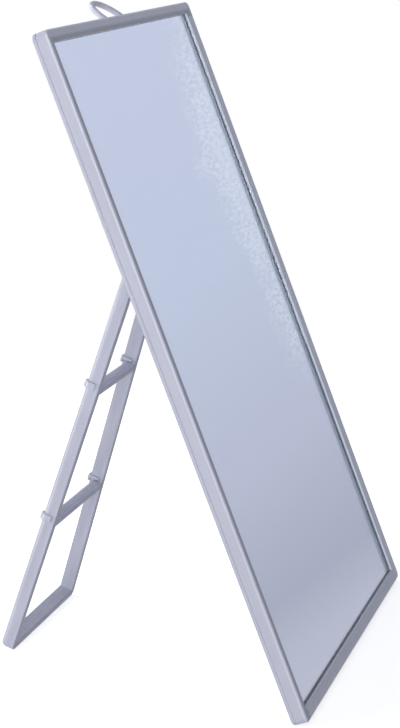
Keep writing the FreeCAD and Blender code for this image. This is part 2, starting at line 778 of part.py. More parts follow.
def stand_up(forward):
    """Place every piece, and return them."""
    panel = standing(forward)
    pin = FreeCAD.Vector(0, value("pin_depth"), value("hinge_height"))
    leg = panel.multiply(turned(X_AXIS, value("open_angle"), pin))
    loop_pin = FreeCAD.Vector(0, value("loop_pin_depth"), value("loop_pin_height"))
    for body in panel_pieces:
        body.Placement = panel
    for body in leg_pieces:
        body.Placement = leg
    for (level, side), body in clip_pieces.items():
        body.Placement = leg.multiply(clip_place(level, side))
    loop.Placement = panel.multiply(turned(X_AXIS, -value("loop_lean"), loop_pin))
    doc.recompute()
    return panel_pieces + leg_pieces + list(clip_pieces.values()) + [loop]


# The origin is on the table, in the middle of the footprint
pieces = stand_up(0.0)
boxes = [body.Shape.optimalBoundingBox() for body in pieces]
middle = (min(box.YMin for box in boxes) + max(box.YMax for box in boxes)) / 2
pieces = stand_up(-middle)


# Check and write the pieces

for item in doc.Objects:
    if "Invalid" in item.State or "Error" in item.State:
        raise RuntimeError(f"{item.Label} failed: {item.State}")
for body in pieces:
    if body.Shape.isNull() or not body.Shape.isValid():
        raise RuntimeError(f"{body.Label} has no valid shape")

os.makedirs("parts", exist_ok=True)
for body in pieces:
    body.Shape.exportStep(f"parts/{body.Label}.step")
    print(f"{body.Label}: {len(body.Shape.Solids)} solid, {body.Shape.Volume:.1f} mm3")
print(f"panel leans {panel_lean:.2f} degrees, footprint shifted {-middle:.2f} mm")
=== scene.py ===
# %% [markdown]
# A portable makeup mirror: a framed sheet of silvered glass that leans back on a folding ladder leg.
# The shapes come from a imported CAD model, which is loaded as a fixed frame in metres. X runs to the
# viewer's right, Y to the back and Z up. Blender's work is the finish: materials, fine pieces and light.

# %% Load the frame
import bmesh
import bpy
import json
import math
from mathutils import Matrix, Quaternion, Vector


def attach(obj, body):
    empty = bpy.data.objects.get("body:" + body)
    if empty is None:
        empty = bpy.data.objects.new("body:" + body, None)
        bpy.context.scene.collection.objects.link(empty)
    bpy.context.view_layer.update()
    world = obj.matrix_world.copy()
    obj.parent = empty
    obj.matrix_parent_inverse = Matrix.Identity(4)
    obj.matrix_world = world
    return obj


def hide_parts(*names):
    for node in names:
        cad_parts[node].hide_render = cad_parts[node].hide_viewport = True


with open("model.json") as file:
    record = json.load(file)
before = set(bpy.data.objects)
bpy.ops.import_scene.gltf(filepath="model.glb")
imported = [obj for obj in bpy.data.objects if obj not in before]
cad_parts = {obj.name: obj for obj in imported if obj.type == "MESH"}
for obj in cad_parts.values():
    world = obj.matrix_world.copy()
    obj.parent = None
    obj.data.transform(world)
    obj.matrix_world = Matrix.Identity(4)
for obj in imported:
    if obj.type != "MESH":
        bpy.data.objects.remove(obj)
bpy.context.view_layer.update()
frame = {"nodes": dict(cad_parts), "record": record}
nodes = frame["nodes"]
record = frame["record"]
print("nodes:", ", ".join(sorted(nodes)))

# %% [markdown]
# The panel, the leg and the loop each lean at their own angle, so their axes are not the scene's axes. They
# could be typed in as angles, but then they would have to be kept in step with the CAD. The record already
# holds directions: the bottom edge mount points straight down the panel, and the eye of the loop faces
# square to the loop. A cross product with X gives what is missing.

# %% Directions of the panel and the loop
mounts = {mount["name"]: mount for mount in record["mounts"]}
joints = {joint["name"]: joint for joint in record["behaviour"]["joints"]}
sideways = Vector((1.0, 0.0, 0.0))
upright = Vector((0.0, 0.0, 1.0))
panel_up = -Vector(mounts["bottom_edge"]["axis"]).normalized()
panel_back = panel_up.cross(sideways)
loop_face = Vector(mounts["hanging_loop_eye"]["axis"]).normalized()
loop_up = loop_face.cross(sideways)
loop_pin = Vector(joints["loop_swing"]["pos_m"])
print("panel leans", round(math.degrees(panel_up.angle(upright)), 2), "degrees")
print("loop leans", round(math.degrees(loop_up.angle(upright)), 2), "degrees")

# %% [markdown]
# The camera stands where the photographer stood: on the left of the mirror, turned well away from its face
# and a little above it. Its place was solved from the straight edges of the panel and the leg, which fix a
# camera well. A long lens from 0.86 m keeps the edges nearly parallel, as they are in the photograph.

# %% Camera
EYE = Vector((-0.7928, -0.2713, 0.3322))
AZIMUTH = math.radians(71.746)
ELEVATION = math.radians(-13.625)
ROLL = math.radians(-2.313)
LENS_MM = 94.57
SENSOR_MM = 36.0


def add_object(name, data):
    """Put new data in the scene as an object, and return the object."""
    thing = bpy.data.objects.new(name, data)
    bpy.context.scene.collection.objects.link(thing)
    return thing


def aim(thing, place, direction, roll=0.0):
    """Stand a camera or lamp at a place, looking along a direction."""
    thing.location = place
    thing.rotation_mode = "QUATERNION"
    turn = Vector(direction).to_track_quat("-Z", "Y")
    thing.rotation_quaternion = turn @ Quaternion((0.0, 0.0, 1.0), roll)


camera_data = bpy.data.cameras.new("camera")
camera_data.lens = LENS_MM
camera_data.sensor_width = SENSOR_MM
camera = add_object("camera", camera_data)
level = math.cos(ELEVATION)
ahead = Vector((math.sin(AZIMUTH) * level, math.cos(AZIMUTH) * level, math.sin(ELEVATION)))
aim(camera, EYE, ahead, ROLL)
bpy.context.scene.camera = camera
print("camera looks along", tuple(round(c, 3) for c in ahead))

# %% [markdown]
# Node trees get long when every socket is wired by hand. A few helpers keep them short: one starts a
# material, one gives noise that is fixed to the piece, one spreads a value over a range, one joins values,
# one mixes two colours by a value, and one makes relief. The noise uses object coordinates, so it does not
# slide when a joint moves.

# %% Node helpers
FULL = (0.0, 1.0)
NOISE_BODY = (0.3, 0.7)
RELIEF_STRENGTH = 0.4


def new_material(name, color, roughness):
    """A material with one Principled shader, and the tree and shader to work on."""
    material = bpy.data.materials.new(name)
    material.use_nodes = True
    tree = material.node_tree
    shader = tree.nodes["Principled BSDF"]
    shader.inputs["Base Color"].default_value = (*color, 1.0)
    shader.inputs["Roughness"].default_value = roughness
    return material, tree, shader


def piece_coordinates(tree, stretch=(1.0, 1.0, 1.0), tilt=0.0):
    """Coordinates of the piece itself, turned about X by a tilt and then stretched.

    A mapping of the type Texture turns first and stretches after, but it undoes what it is given.
    """
    place = tree.nodes.new("ShaderNodeTexCoord")
    mapping = tree.nodes.new("ShaderNodeMapping")
    mapping.vector_type = "TEXTURE"
    mapping.inputs["Rotation"].default_value = (-tilt, 0.0, 0.0)
    mapping.inputs["Scale"].default_value = [1.0 / factor for factor in stretch]
    tree.links.new(place.outputs["Object"], mapping.inputs["Vector"])
    return mapping.outputs["Vector"]


def noise(tree, coordinates, scale, detail=2.0):
    """Noise in given coordinates, as a value around 0.5."""
    texture = tree.nodes.new("ShaderNodeTexNoise")
    texture.inputs["Scale"].default_value = scale
    texture.inputs["Detail"].default_value = detail
    tree.links.new(coordinates, texture.inputs["Vector"])
    return texture.outputs["Fac"]


def spread(tree, value, source, target, smooth=False):
    """Map a value from one range to another, without running past the ends."""
    node = tree.nodes.new("ShaderNodeMapRange")
    node.interpolation_type = "SMOOTHSTEP" if smooth else "LINEAR"
    node.inputs["From Min"].default_value, node.inputs["From Max"].default_value = source
    node.inputs["To Min"].default_value, node.inputs["To Max"].default_value = target
    tree.links.new(value, node.inputs["Value"])
    return node.outputs["Result"]


def math_node(tree, operation, *values):
    """Join values, any of which may be a plain number."""
    node = tree.nodes.new("ShaderNodeMath")
    node.operation = operation
    for socket, value in zip(node.inputs, values):
        if isinstance(value, (int, float)):
            socket.default_value = value
        else:
            tree.links.new(value, socket)
    return node.outputs["Value"]


def mix_colors(tree, factor, first, second):
    """Go from a first colour to a second one as the factor, a number or a value, rises."""
    node = tree.nodes.new("ShaderNodeMix")
    node.data_type = "RGBA"
    if isinstance(factor, float):
        node.inputs["Factor"].default_value = factor
    else:
        tree.links.new(factor, node.inputs["Factor"])
    for name, color in (("A", first), ("B", second)):
        socket = next(entry for entry in node.inputs if entry.name == name and entry.type == "RGBA")
        if isinstance(color, tuple):
            socket.default_value = (*color, 1.0)
        else:
            tree.links.new(color, socket)
    return next(entry for entry in node.outputs if entry.type == "RGBA")


def roughen(tree, shader, height, depth):
    """Turn a value into fine relief, a given depth in metres."""
    bump = tree.nodes.new("ShaderNodeBump")
    bump.inputs["Strength"].default_value = RELIEF_STRENGTH
    bump.inputs["Distance"].default_value = depth
    tree.links.new(height, bump.inputs["Height"])
    tree.links.new(bump.outputs["Normal"], shader.inputs["Normal"])


print("helpers ready")

# %% [markdown]
# Frame, cover, leg, clips and loop are moulded plastic in a pale lavender grey. Moulded plastic is never
# quite even: the colour clouds where the melt flowed, thin streaks follow the length of a bar, the sheen
# varies, and the mould leaves a fine grain. Each of these is one gentle noise at its own scale. Flow
# streaks are noise in coordinates that are squeezed along the bar. The sheen never varies across a roughness
# of about 0.27: a smoother spot counts as a mirror when the picture is denoised, and its border would show.

# %% Moulded plastic
CLOUD = 26.0
CLOUD_SHADES = (0.96, 1.03)
STREAK = 420.0
STREAK_SQUEEZE = (1.0, 1.0, 0.025)
EVEN_MIX = 0.5
SHEEN = 170.0
SHEEN_BODY = (0.2, 0.8)
SHEEN_BELOW = 0.02
SHEEN_ABOVE = 0.05
FINE_GRAIN = (2400.0, 0.00001)
MATT_GRAIN = (1300.0, 0.00006)


def shade(color, factor):
    """A colour made darker or lighter by a factor."""
    return tuple(min(channel * factor, 1.0) for channel in color)


def shades_of(tree, value, color, factors):
    """A colour that goes from a first to a second shade as a value rises."""
    first, second = (shade(color, factor) for factor in factors)
    return mix_colors(tree, value, first, second)


def moulded_plastic(name, color, roughness, tilt, streak=0.05, fine=True):
    """A plastic whose flow streaks, of a given contrast, run up a piece that leans by the tilt."""
    material, tree, shader = new_material(name, color, roughness)
    plain = piece_coordinates(tree)
    along = piece_coordinates(tree, STREAK_SQUEEZE, tilt)
    clouds = spread(tree, noise(tree, plain, CLOUD, detail=3.0), NOISE_BODY, FULL)
    streaks = spread(tree, noise(tree, along, STREAK), NOISE_BODY, FULL)
    swing = streak / EVEN_MIX
    clouded = shades_of(tree, clouds, color, CLOUD_SHADES)
    streaked = shades_of(tree, streaks, color, (1.0 - swing, 1.0 + swing))
    tree.links.new(mix_colors(tree, EVEN_MIX, clouded, streaked), shader.inputs["Base Color"])
    sheen_range = (roughness - SHEEN_BELOW, roughness + SHEEN_ABOVE)
    sheen = spread(tree, noise(tree, plain, SHEEN, detail=0.0), SHEEN_BODY, sheen_range)
    tree.links.new(sheen, shader.inputs["Roughness"])
    grain, depth = FINE_GRAIN if fine else MATT_GRAIN
    roughen(tree, shader, noise(tree, plain, grain), depth)
    return material


FRAME_TONE = (0.46, 0.47, 0.553)
COVER_TONE = (0.45, 0.46, 0.54)
LEG_TONE = (0.437, 0.447, 0.53)
CLIP_TONE = (0.47, 0.48, 0.565)
LOOP_TONE = (0.52, 0.53, 0.61)
LEG_LEAN = 20.0
panel_tilt = panel_up.angle(upright)
leg_tilt = -math.radians(LEG_LEAN)
plastics = {
    "frame_plastic": moulded_plastic("frame_plastic", FRAME_TONE, 0.30, panel_tilt, streak=0.03),
    "cover_plastic": moulded_plastic("cover_plastic", COVER_TONE, 0.55, panel_tilt, streak=0.015, fine=False),
    "leg_plastic": moulded_plastic("leg_plastic", LEG_TONE, 0.36, leg_tilt, streak=0.07),
    "clip_plastic": moulded_plastic("clip_plastic", CLIP_TONE, 0.18, leg_tilt, streak=0.02),
    "loop_plastic": moulded_plastic("loop_plastic", LOOP_TONE, 0.38, panel_tilt),
}
print("plastics:", ", ".join(plastics))

# %% [markdown]
# Across the lip four tones show, and all four are painted light and shade: a painted highlight on the
# rounded outer edge, painted shade on the inner slope of the left and top bars, which are turned away from
# the light, a thin line of painted light where a low wall stands square to the glass, and painted bluish
# light on the inside of the frame, in the glass beside it. They come from the light's direction and from
# light thrown to and fro between frame and mirror, and tones stand in for them here. Three measures find
# the places: how far in from the outer edge a point lies, how far from the left and top edges alone, and how
# deep behind the front. On the left bar the slope itself is out of the camera's sight, so its painted shade
# starts a little earlier, on the flat.

# %% Painted light and shade on the lip
LIP_WIDTH = 0.0054
SLOPE = (0.0028, 0.0040)
# Painted shade on the inner slope of the left and top bars, which face away from the light.
PAINTED_SLOPE_SHADE = shade(FRAME_TONE, 0.62)
LEFT_AHEAD = 0.0018
EDGE_ROUND = 0.0008
# Painted highlight on the rounded outer edge of the frame.
PAINTED_EDGE_HIGHLIGHT = shade(FRAME_TONE, 1.30)
RIM_DEPTH = 0.00155
# Painted light on the low wall of the rim: light that the mirror throws back onto it.
PAINTED_RIM_LIGHT = (0.80, 0.875, 0.99)
SKIN = 0.0035
# Painted bluish light on the inside of the frame, thrown there by the mirror.
PAINTED_INSIDE_LIGHT = (0.70, 0.79, 0.93)
MASK_BLUR = 0.00005


def extent(places, axis):
    """Lowest and highest of some places along an axis."""
    along = [place.dot(axis) for place in places]
    return min(along), max(along)


def reach_along(node, axis):
    """Lowest and highest place of a node along an axis."""
    return extent([vertex.co for vertex in nodes[node].data.vertices], axis)


def place_along(tree, axis):
    """How far a point lies along an axis, in the coordinates of the piece."""
    place = tree.nodes.new("ShaderNodeTexCoord")
    along = tree.nodes.new("ShaderNodeVectorMath")
    along.operation = "DOT_PRODUCT"
    along.inputs[1].default_value = axis
    tree.links.new(place.outputs["Object"], along.inputs[0])
    return along.outputs["Value"]


def distance_in(tree, axis):
    """How far in from the nearer end of the frame a point lies, along an axis."""
    low, high = reach_along("front_frame", axis)
    off_middle = math_node(tree, "SUBTRACT", place_along(tree, axis), (low + high) / 2)
    return math_node(tree, "SUBTRACT", (high - low) / 2, math_node(tree, "ABSOLUTE", off_middle))


def paint_light_and_shade(tree, layers):
    """Lay painted light and shade over the colour of a plastic, one after the other, each where its mask is
    1.
    """
    color = tree.nodes["Principled BSDF"].inputs["Base Color"]
    tone = color.links[0].from_socket
    for mask, layer in layers:
        tone = mix_colors(tree, mask, tone, layer)
    tree.links.new(tone, color)


def lip_painted_light(tree):
    """The masks and colours of the painted light and shade on the lip, in the order in which they are laid.
    """
    inward = math_node(tree, "MINIMUM", distance_in(tree, sideways), distance_in(tree, panel_up))
    front = reach_along("front_frame", panel_back)[0]
    depth = math_node(tree, "SUBTRACT", place_along(tree, panel_back), front)
    beside = math_node(tree, "LESS_THAN", inward, EDGE_ROUND)
    on_painted_highlight = math_node(tree, "MULTIPLY", beside, math_node(tree, "LESS_THAN", depth, EDGE_ROUND))
    left = reach_along("front_frame", sideways)[0]
    top = reach_along("front_frame", panel_up)[1]
    from_left = math_node(tree, "SUBTRACT", place_along(tree, sideways), left)
    from_top = math_node(tree, "SUBTRACT", top, place_along(tree, panel_up))
    turned_away = math_node(tree, "MINIMUM", math_node(tree, "ADD", from_left, LEFT_AHEAD), from_top)
    on_bars = math_node(tree, "LESS_THAN", turned_away, LIP_WIDTH + LEFT_AHEAD)
    on_painted_shade = math_node(tree, "MULTIPLY", spread(tree, turned_away, SLOPE, FULL), on_bars)
    on_painted_rim_light = spread(tree, inward, (LIP_WIDTH - 2 * MASK_BLUR, LIP_WIDTH - MASK_BLUR), FULL)
    behind = spread(tree, depth, (RIM_DEPTH - MASK_BLUR, RIM_DEPTH), FULL)
    inside = math_node(tree, "MULTIPLY", behind, math_node(tree, "GREATER_THAN", inward, SKIN))
    # In order: painted highlight, painted shade, painted rim light, painted inside light.
    return [(on_painted_highlight, PAINTED_EDGE_HIGHLIGHT), (on_painted_shade, PAINTED_SLOPE_SHADE), (on_painted_rim_light, PAINTED_RIM_LIGHT), (inside, PAINTED_INSIDE_LIGHT)]


frame_tree = plastics["frame_plastic"].node_tree
paint_light_and_shade(frame_tree, lip_painted_light(frame_tree))
print("lip tones laid over", plastics["frame_plastic"].name)

# %% [markdown]
# The front of the leg faces the dark gap behind the panel and lies in its shade, a thin dark line along each
# rail. That shade is painted: it follows from the depth of a point in the leg, and is laid over the plastic
# in the same way.
# The pale stripe along the back of the rails needs no tone: it is light on the rounded edge of the CAD rails.

# %% Painted shade on the front of the leg
LEG_DEPTH = 0.0066
DARK_FRONT = (0.0002, 0.0005)
# Painted shade on the front of the leg, which faces the dark gap behind the panel.
PAINTED_FRONT_SHADE = shade(LEG_TONE, 0.62)

leg_back = Vector((0.0, math.cos(leg_tilt), -math.sin(leg_tilt)))
leg_front_plane = reach_along("leg_frame", leg_back)[1] - LEG_DEPTH
leg_tree = plastics["leg_plastic"].node_tree
leg_depth = math_node(leg_tree, "SUBTRACT", place_along(leg_tree, leg_back), leg_front_plane)
paint_light_and_shade(leg_tree, [(spread(leg_tree, leg_depth, DARK_FRONT, (1.0, 0.0)), PAINTED_FRONT_SHADE)])
print("front of the leg at", round(leg_front_plane, 5), "m")

# %% [markdown]
# The hinge pin, the loop pin and the screws are drawn steel: metallic, with fine draw marks along X. The
# marks are noise squeezed along that axis, and they change both the sheen and the colour a little. The
# foam behind the glass is nearly black, and its cells are one fine noise.

# %% Steel and foam
STEEL = (0.60, 0.60, 0.62)
STEEL_SHADES = (0.88, 1.1)
STEEL_ROUGHNESS = (0.29, 0.42)
DRAW_MARKS = 1800.0
DRAW_SQUEEZE = (0.05, 1.0, 1.0)
DRAW_DEPTH = 0.00001
FOAM = (0.045, 0.045, 0.05)
FOAM_SHADES = (0.6, 1.4)
FOAM_ROUGHNESS = 0.9
FOAM_CELLS = 1600.0
FOAM_DEPTH = 0.0002

steel, steel_tree, steel_shader = new_material("steel", STEEL, STEEL_ROUGHNESS[0])
steel_shader.inputs["Metallic"].default_value = 1.0
marks = noise(steel_tree, piece_coordinates(steel_tree, DRAW_SQUEEZE), DRAW_MARKS, detail=3.0)
steel_color = shades_of(steel_tree, marks, STEEL, STEEL_SHADES)
steel_tree.links.new(steel_color, steel_shader.inputs["Base Color"])
steel_sheen = spread(steel_tree, marks, NOISE_BODY, STEEL_ROUGHNESS)
steel_tree.links.new(steel_sheen, steel_shader.inputs["Roughness"])
roughen(steel_tree, steel_shader, marks, DRAW_DEPTH)

foam, foam_tree, foam_shader = new_material("foam", FOAM, FOAM_ROUGHNESS)
cells = noise(foam_tree, piece_coordinates(foam_tree), FOAM_CELLS, detail=3.0)
foam_color = shades_of(foam_tree, cells, FOAM, FOAM_SHADES)
foam_tree.links.new(foam_color, foam_shader.inputs["Base Color"])
roughen(foam_tree, foam_shader, cells, FOAM_DEPTH)
print("steel and foam ready")

# %% [markdown]
# The mirror is a sheet of clear glass, silvered on its back. The picture therefore lies 2 mm behind the
# surface, and along the lip a dark line shows, where the eye looks past the silver at the shaded inside. One
# mirror-like material on the front could not give that line, so the glass node becomes clear glass, and
# the silver is a thin sheet of its own.

# %% Clear glass
GLASS = (0.93, 0.965, 0.97)
GLASS_IOR = 1.5
SMEARS = 30.0
SMEAR_BODY = (0.45, 0.75)
GLASS_ROUGHNESS = (0.0, 0.03)

glass, glass_tree, glass_shader = new_material("clear_glass", GLASS, GLASS_ROUGHNESS[0])
glass_shader.inputs["Transmission Weight"].default_value = 1.0
glass_shader.inputs["IOR"].default_value = GLASS_IOR
smears = noise(glass_tree, piece_coordinates(glass_tree), SMEARS, detail=3.0)
glass_sheen = spread(glass_tree, smears, SMEAR_BODY, GLASS_ROUGHNESS)
glass_tree.links.new(glass_sheen, glass_shader.inputs["Roughness"])
print("clear glass ready")

# %% [markdown]
# The silver is bright metal with a slightly grey cast. Along the upper part of its right edge lies a mottled
# veil, a little whiter than the rest. It is made with generated coordinates, which run from 0 to 1 over the
# sheet: one mask fixes where the veil lies and where it bulges, a second one its bright core close to the
# edge, and two noises make its border ragged and break it into specks. Along both sides the coating is
# painted darker towards the lip, on the right a little further in: painted shade that stands for the
# reflection of the lip's shaded inside. The specks are a little rough, but not in these painted dark sides,
# so that the lip's reflection there stays clean.

# %% Silver
SILVER = (0.763, 0.778, 0.817)
SILVER_ROUGHNESS = (0.01, 0.12)
VEIL = (1.0, 1.0, 0.98)
VEIL_EDGE = (0.74, 0.94)
VEIL_CORE = (0.86, 1.00)
CORE_STRENGTH = (0.0, 0.25)
VEIL_FOOT = (0.32, 0.50)
VEIL_TOP = (0.88, 0.99)
TOP_STRENGTH = (1.0, 0.35)
RAGGED = 60.0
RAGGED_REACH = 0.2
SPECKS = 650.0
SPECK_WIDEN = (0.33, 1.0, 1.0)
SPECK_BODY = (0.42, 0.60)
SPECK_STRENGTH = (0.05, 1.0)
BULGE_HEIGHT = 0.76
BULGE_REACH = 0.20
BULGE_WIDTH = 0.13
# Painted shade along both sides of the silver, for the reflection of the lip's shaded inside.
PAINTED_SHADE_REACH = (0.0780, 0.0824)
DARK_SHIFT = 0.0012
PAINTED_REFLECTED_SHADE = (0.40, 0.44, 0.50)


def veil_mask(tree):
    """How strong the veil is: strongest near the right edge of the upper half, in specks."""
    place = tree.nodes.new("ShaderNodeTexCoord")
    split = tree.nodes.new("ShaderNodeSeparateXYZ")
    tree.links.new(place.outputs["Generated"], split.inputs["Vector"])
    across, upward = split.outputs["X"], split.outputs["Z"]
    plain = piece_coordinates(tree)
    wide = piece_coordinates(tree, SPECK_WIDEN)
    waves = noise(tree, plain, RAGGED, detail=4.0)
    ragged = math_node(tree, "MULTIPLY_ADD", waves, RAGGED_REACH, -RAGGED_REACH / 2)
    from_middle = math_node(tree, "DIVIDE", math_node(tree, "SUBTRACT", upward, BULGE_HEIGHT), BULGE_REACH)
    away = math_node(tree, "MINIMUM", math_node(tree, "ABSOLUTE", from_middle), 1.0)
    bulge = math_node(tree, "MULTIPLY_ADD", away, -BULGE_WIDTH, BULGE_WIDTH)
    border = math_node(tree, "ADD", math_node(tree, "ADD", across, bulge), ragged)
    mottled = spread(tree, noise(tree, wide, SPECKS), SPECK_BODY, SPECK_STRENGTH)
    veiled = math_node(tree, "MULTIPLY", spread(tree, border, VEIL_EDGE, FULL, smooth=True), mottled)
    core = spread(tree, border, VEIL_CORE, CORE_STRENGTH, smooth=True)
    above = spread(tree, upward, VEIL_FOOT, FULL, smooth=True)
    below = spread(tree, upward, VEIL_TOP, TOP_STRENGTH, smooth=True)
    between = math_node(tree, "MULTIPLY", above, below)
    return math_node(tree, "MULTIPLY", math_node(tree, "ADD", veiled, core), between)


silver, silver_tree, silver_shader = new_material("silver", SILVER, SILVER_ROUGHNESS[0])
silver_shader.inputs["Metallic"].default_value = 1.0
veil = veil_mask(silver_tree)
shifted = math_node(silver_tree, "ADD", place_along(silver_tree, sideways), DARK_SHIFT)
off_middle = math_node(silver_tree, "ABSOLUTE", shifted)
painted_side_shade = spread(silver_tree, off_middle, PAINTED_SHADE_REACH, FULL, smooth=True)
veiled_silver = mix_colors(silver_tree, veil, SILVER, VEIL)
# The painted shade darkens the silver towards the lip on both sides.
silver_color = mix_colors(silver_tree, painted_side_shade, veiled_silver, PAINTED_REFLECTED_SHADE)
silver_tree.links.new(silver_color, silver_shader.inputs["Base Color"])
off_painted_shade = math_node(silver_tree, "SUBTRACT", 1.0, painted_side_shade)
rough_specks = math_node(silver_tree, "MULTIPLY", veil, off_painted_shade)
silver_sheen = spread(silver_tree, rough_specks, FULL, SILVER_ROUGHNESS)
silver_tree.links.new(silver_sheen, silver_shader.inputs["Roughness"])
print("silver ready")

# %% [markdown]
# Every CAD node gets the finish of its slot in the record. The meshes stay as they are: only the material
# slots change.

# %% Finishes on the CAD nodes
finishes = dict(plastics, steel=steel, mirror=glass, foam=foam)
slots = {entry["node"]: entry["material_slot"] for entry in record["subparts"]}
for name, node in nodes.items():
    node.data.materials.clear()
    node.data.materials.append(finishes[slots[name]])
print("finishes on", len(nodes), "nodes")

# %% [markdown]
# The silver sheet lies just inside the back face of the glass. At the top and the sides it runs on under the
# lip. At the bottom it stops a little above the lip, so dark foam shows there as a narrow line: painted shade
# that stands for the shaded gap under the lip. Its outline is measured on the glass node along the panel's
# own axes, and the same four corners at two depths make it a thin closed slab.

# %% Silver sheet
CLEAN_EDGE = 0.0003
# At the foot the sheet stops short, so the dark foam shows as painted shade for the gap under the lip.
SHADE_LINE_FOOT = 0.0024
BEFORE_BACK = 0.0001
SILVER_THICKNESS = 0.00005


def silver_sheet():
    """The coat as a thin slab inside the glass, near its back."""
    left, right = reach_along("mirror_glass", sideways)
    low, high = reach_along("mirror_glass", panel_up)
    face = reach_along("mirror_glass", panel_back)[1] - BEFORE_BACK
    corners = [(left + CLEAN_EDGE, low + SHADE_LINE_FOOT), (right - CLEAN_EDGE, low + SHADE_LINE_FOOT),
               (right - CLEAN_EDGE, high - CLEAN_EDGE), (left + CLEAN_EDGE, high - CLEAN_EDGE)]
    places = [sideways * across + panel_up * up + panel_back * depth
              for depth in (face, face + SILVER_THICKNESS) for across, up in corners]
    edges = [(here, (here + 1) % 4) for here in range(4)]
    sides = [(after, here, here + 4, after + 4) for here, after in edges]
    mesh = bpy.data.meshes.new("silver_coat")
    mesh.from_pydata(places, [], [(0, 1, 2, 3), (7, 6, 5, 4), *sides])
    mesh.materials.append(silver)
    sheet = add_object("silver_coat", mesh)
    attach(sheet, "panel")
    return sheet


silver_coat = silver_sheet()
print("silver sheet", [round(side, 4) for side in silver_coat.dimensions])

# %% [markdown]
# The hanging loop is one round strand, bent to an arch, with an eye at each end that turns on the pin. In the
# CAD the strand has eight flat sides to keep it light. Here it is swept as a round tube, which a curve
# with a bevel does in a few lines: Bezier points with handles make a true half circle.

# %% Hanging loop
ARCH_RADIUS = 0.0097
ARCH_RISE = 0.0029
STRAND_RADIUS = 0.00125
EYE_RADIUS = 0.0014
EYE_HALF_WIDTH = 0.0015
PIN_HOLE = 0.00065
QUARTER_HANDLE = 0.5523
ROUND_STEPS = 5
BEND_STEPS = 16


def loop_place(across, rise):
    """A place in the plane of the loop, from the middle of its pin."""
    return loop_pin + sideways * across + loop_up * rise


def strand_curve():
    """The strand as a Bezier curve: two straight sides and two quarter circles."""
    data = bpy.data.curves.new("loop_strand", "CURVE")
    data.dimensions = "3D"
    data.bevel_depth = STRAND_RADIUS
    data.bevel_resolution = ROUND_STEPS
    data.resolution_u = BEND_STEPS
    data.use_fill_caps = True
    reach = ARCH_RADIUS * QUARTER_HANDLE
    straight = ARCH_RISE / 3
    corners = [
        ((-ARCH_RADIUS, 0.0), (0.0, straight), (0.0, straight)),
        ((-ARCH_RADIUS, ARCH_RISE), (0.0, straight), (0.0, reach)),
        ((0.0, ARCH_RISE + ARCH_RADIUS), (reach, 0.0), (reach, 0.0)),
        ((ARCH_RADIUS, ARCH_RISE), (0.0, -reach), (0.0, -straight)),
        ((ARCH_RADIUS, 0.0), (0.0, -straight), (0.0, -straight)),
    ]
    spline = data.splines.new("BEZIER")
    spline.bezier_points.add(len(corners) - 1)
    for point, ((across, rise), before, after) in zip(spline.bezier_points, corners):
        point.co = loop_place(across, rise)
        point.handle_left = loop_place(across - before[0], rise - before[1])
        point.handle_right = loop_place(across + after[0], rise + after[1])
    data.materials.append(plastics["loop_plastic"])
    return add_object("loop_strand", data)


strand = strand_curve()
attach(strand, "loop")
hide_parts("hanging_loop")
print("strand bent over", round(2000 * ARCH_RADIUS, 1), "mm")

# %% [markdown]
# Each eye is a short sleeve around the pin. It is turned like a ring on a lathe: a small profile with
# softened corners is spun once around the pin, which leaves the hole open for it.

# %% Eyes of the loop
EYE_SOFT = 0.0003
EYE_SLIGHT = 0.3 * EYE_SOFT
EYE_SHARP = math.radians(50)
SPIN_STEPS = 40
SAME_PLACE = 1e-7


def spun_ring(center, profile):
    """Spin a closed profile of (along X, out from X) around the X axis through a centre."""
    work = bmesh.new()
    ring = [work.verts.new((along, 0.0, out)) for along, out in profile]
    edges = [work.edges.new((ring[i], ring[(i + 1) % len(ring)])) for i in range(len(ring))]
    bmesh.ops.spin(work, geom=ring + edges, cent=(0, 0, 0), axis=(1, 0, 0),
                   angle=2 * math.pi, steps=SPIN_STEPS)
    bmesh.ops.remove_doubles(work, verts=work.verts, dist=SAME_PLACE)
    bmesh.ops.recalc_face_normals(work, faces=work.faces)
    bmesh.ops.translate(work, vec=center, verts=work.verts)
    return work


def eye_profile():
    """The section of an eye: a box with its two outer corners softened."""
    half = EYE_HALF_WIDTH
    right_side = [(half, PIN_HOLE), (half, EYE_RADIUS - EYE_SOFT),
                  (half - EYE_SLIGHT, EYE_RADIUS - EYE_SLIGHT), (half - EYE_SOFT, EYE_RADIUS)]
    left_side = [(-along, out) for along, out in reversed(right_side)]
    return right_side + left_side


def as_object(name, work):
    """Turn a worked mesh into an object of the scene."""
    mesh = bpy.data.meshes.new(name)
    work.to_mesh(mesh)
    work.free()
    return add_object(name, mesh)


def loop_eye(name, across):
    """One eye of the loop, around the pin."""
    eye = as_object(name, spun_ring(loop_place(across, 0.0), eye_profile()))
    eye.data.shade_smooth()
    eye.data.set_sharp_from_angle(angle=EYE_SHARP)
    eye.data.materials.append(plastics["loop_plastic"])
    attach(eye, "loop")
    return eye


eyes = [loop_eye("loop_eye_left", -ARCH_RADIUS), loop_eye("loop_eye_right", ARCH_RADIUS)]
print("eyes", [len(eye.data.polygons) for eye in eyes], "faces")

# %% [markdown]
# The clips are small moulded hooks that hold the rungs to the rails. Moulded parts this small have no sharp
# edge left: in the photograph they look like beads with a spot of gloss on them. The CAD clips are square
# cut, so each gets a rounded copy. Remeshing to small cubes and smoothing rounds all edges alike, which a
# bevel could not do around the notch of the hook.

# %% Rounded clips
CLIP_CUBE = 0.00016
CLIP_SMOOTHING = 8
CLIP_SOFTNESS = 0.5


def worked_mesh(thing):
    """The mesh of an object as its modifiers leave it."""
    return bpy.data.meshes.new_from_object(thing.evaluated_get(bpy.context.evaluated_depsgraph_get()))


